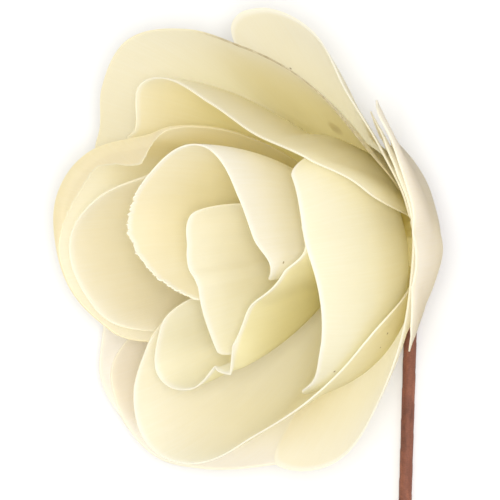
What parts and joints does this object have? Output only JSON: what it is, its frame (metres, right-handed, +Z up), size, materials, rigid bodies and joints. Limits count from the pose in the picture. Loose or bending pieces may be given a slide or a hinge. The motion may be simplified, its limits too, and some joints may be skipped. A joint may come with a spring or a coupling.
{
  "type": "crepe paper rose",
  "caption": "Open paper rose: cupped waxed crepe petals in nested layers, gathered on a tape-wrapped wire stem, lying on its side.",
  "frame": {"origin": "on the floor under the middle of the piece's box", "axes": "+Y from the cut stem end towards the bloom, +Z up as the rose lies on its side, +X towards the stem's side"},
  "size_m": [0.0704, 0.1646, 0.0567],
  "materials": {
    "paper_ivory": "waxed, soft satin",
    "paper_deep": "waxed, soft satin",
    "paper_pale": "waxed, soft satin",
    "stem_tape": "matt stretched paper tape",
    "stem_wire": "bare cut end"
  },
  "bodies": {
    "root": {"petal_heart": "paper_deep", "petal_bud_wrap": "paper_deep", "petal_inner_low": "paper_ivory", "petal_inner_right": "paper_ivory", "petal_mid_low": "paper_ivory", "petal_mid_left": "paper_ivory", "petal_outer_left": "paper_ivory", "petal_inner_top": "paper_ivory", "petal_outer_top_left": "paper_ivory", "petal_outer_top_right": "paper_pale", "petal_outer_right": "paper_pale", "petal_outer_low": "paper_ivory", "petal_outer_low_left": "paper_ivory", "petal_back_right": "paper_pale", "stem_wire": "stem_wire", "stem_tape": "stem_tape"}
  },
  "joints": []
}
